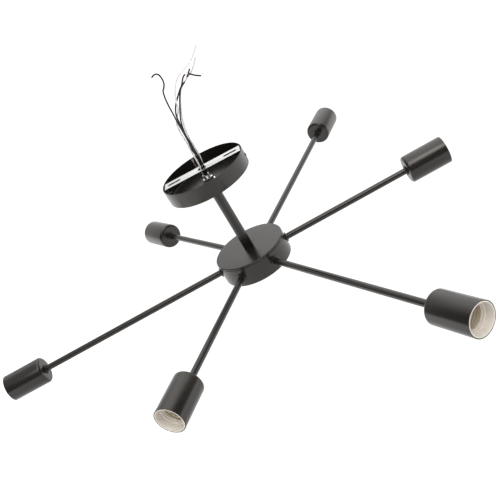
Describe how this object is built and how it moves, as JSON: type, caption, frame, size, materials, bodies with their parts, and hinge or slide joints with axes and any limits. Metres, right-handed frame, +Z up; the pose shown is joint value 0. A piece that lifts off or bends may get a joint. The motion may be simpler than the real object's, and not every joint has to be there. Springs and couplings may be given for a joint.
{
  "type": "sputnik chandelier",
  "caption": "Black ceiling light with a shallow round canopy, a short stem and a flat drum hub whose level arms, long and short in turn, end in open cylindrical lamp cups.",
  "frame": {"origin": "middle of the canopy's open rim, on the ceiling plane and on the stem's axis; the light hangs below it", "axes": "+Z up, +X along the strap, a few degrees from the first short arm"},
  "size_m": [0.7135, 0.7263, 0.3159],
  "materials": {
    "black_paint": "warm black powder paint, satin",
    "black_nut": "black oxide",
    "zinc_strap": "pale zinc plate",
    "dark_screw": "dark plated screw",
    "bright_nut": "bright nickel plate",
    "zinc_rod": "zinc plated thread",
    "holder_cream": "cream heat-proof moulding",
    "shell_metal": "rolled thread, lightly tarnished",
    "contact_brass": "brass spring strip",
    "block_plastic": "moulded terminal block",
    "black_lead": "black insulation, bare copper near the end",
    "white_lead": "white insulation, bare copper near the end",
    "earth_wire": "fine bare copper strand"
  },
  "bodies": {
    "canopy_body": {"canopy": "black_paint", "crossbar": "zinc_strap", "side_screws": "dark_screw", "lock_washer": "bright_nut", "black_lead_1": "black_lead", "black_lead_2": "black_lead", "black_lead_3": "black_lead", "white_lead_1": "white_lead", "white_lead_2": "white_lead", "earth_lead": "earth_wire"},
    "stem_body": {"canopy_nut": "bright_nut", "threaded_rod": "zinc_rod", "stem_tube": "black_paint", "hub_lid": "black_paint", "hub_drum": "black_paint", "hub_nut": "bright_nut", "hub_pillars": "zinc_rod", "hub_screws": "dark_screw", "terminal_block": "block_plastic", "riser_leads": "black_lead", "arm_leads": "black_lead"},
    "arm_body_1": {"arm_tube_1": "black_paint", "arm_locknuts_1": "black_nut", "lamp_cup_1": "black_paint", "lamp_holder_1": "holder_cream", "screw_shell_1": "shell_metal"},
    "contact_body_1": {"centre_contact_1": "contact_brass"},
    "arm_body_2": {"arm_tube_2": "black_paint", "arm_locknuts_2": "black_nut", "lamp_cup_2": "black_paint", "lamp_holder_2": "holder_cream", "screw_shell_2": "shell_metal"},
    "contact_body_2": {"centre_contact_2": "contact_brass"},
    "arm_body_3": {"arm_tube_3": "black_paint", "arm_locknuts_3": "black_nut", "lamp_cup_3": "black_paint", "lamp_holder_3": "holder_cream", "screw_shell_3": "shell_metal"},
    "contact_body_3": {"centre_contact_3": "contact_brass"},
    "arm_body_4": {"arm_tube_4": "black_paint", "arm_locknuts_4": "black_nut", "lamp_cup_4": "black_paint", "lamp_holder_4": "holder_cream", "screw_shell_4": "shell_metal"},
    "contact_body_4": {"centre_contact_4": "contact_brass"},
    "arm_body_5": {"arm_tube_5": "black_paint", "arm_locknuts_5": "black_nut", "lamp_cup_5": "black_paint", "lamp_holder_5": "holder_cream", "screw_shell_5": "shell_metal"},
    "contact_body_5": {"centre_contact_5": "contact_brass"},
    "arm_body_6": {"arm_tube_6": "black_paint", "arm_locknuts_6": "black_nut", "lamp_cup_6": "black_paint", "lamp_holder_6": "holder_cream", "screw_shell_6": "shell_metal"},
    "contact_body_6": {"centre_contact_6": "contact_brass"}
  },
  "joints": [
    {"name": "stem_turn", "type": "hinge", "parent": "canopy_body", "child": "stem_body", "pos_m": [0, 0, -0.1345], "axis": [0, 0, 1], "range_deg": [-170, 170]},
    {"name": "arm_turn_1", "type": "hinge", "parent": "stem_body", "child": "arm_body_1", "pos_m": [0.05185, 0.0039, -0.151], "axis": [0.9972, 0.075, 0], "range_deg": [-90, 90]},
    {"name": "contact_press_1", "type": "slide", "parent": "arm_body_1", "child": "contact_body_1", "axis": [-0.9972, -0.075, 0], "range_m": [0, 0.0018], "stiffness_N_per_m": 600},
    {"name": "arm_turn_2", "type": "hinge", "parent": "stem_body", "child": "arm_body_2", "pos_m": [0.02393, 0.04617, -0.151], "axis": [0.4602, 0.8878, 0], "range_deg": [-90, 90]},
    {"name": "contact_press_2", "type": "slide", "parent": "arm_body_2", "child": "contact_body_2", "axis": [-0.4602, -0.8878, 0], "range_m": [0, 0.0018], "stiffness_N_per_m": 600},
    {"name": "arm_turn_3", "type": "hinge", "parent": "stem_body", "child": "arm_body_3", "pos_m": [-0.02923, 0.04301, -0.151], "axis": [-0.5621, 0.8271, 0], "range_deg": [-90, 90]},
    {"name": "contact_press_3", "type": "slide", "parent": "arm_body_3", "child": "contact_body_3", "axis": [0.5621, -0.8271, 0], "range_m": [0, 0.0018], "stiffness_N_per_m": 600},
    {"name": "arm_turn_4", "type": "hinge", "parent": "stem_body", "child": "arm_body_4", "pos_m": [-0.05187, -0.00363, -0.151], "axis": [-0.9976, -0.0698, 0], "range_deg": [-90, 90]},
    {"name": "contact_press_4", "type": "slide", "parent": "arm_body_4", "child": "contact_body_4", "axis": [0.9976, 0.0698, 0], "range_m": [0, 0.0018], "stiffness_N_per_m": 600},
    {"name": "arm_turn_5", "type": "hinge", "parent": "stem_body", "child": "arm_body_5", "pos_m": [-0.0232, -0.04654, -0.151], "axis": [-0.4462, -0.8949, 0], "range_deg": [-90, 90]},
    {"name": "contact_press_5", "type": "slide", "parent": "arm_body_5", "child": "contact_body_5", "axis": [0.4462, 0.8949, 0], "range_m": [0, 0.0018], "stiffness_N_per_m": 600},
    {"name": "arm_turn_6", "type": "hinge", "parent": "stem_body", "child": "arm_body_6", "pos_m": [0.0274, -0.04419, -0.151], "axis": [0.527, -0.8499, 0], "range_deg": [-90, 90]},
    {"name": "contact_press_6", "type": "slide", "parent": "arm_body_6", "child": "contact_body_6", "axis": [-0.527, 0.8499, 0], "range_m": [0, 0.0018], "stiffness_N_per_m": 600}
  ]
}
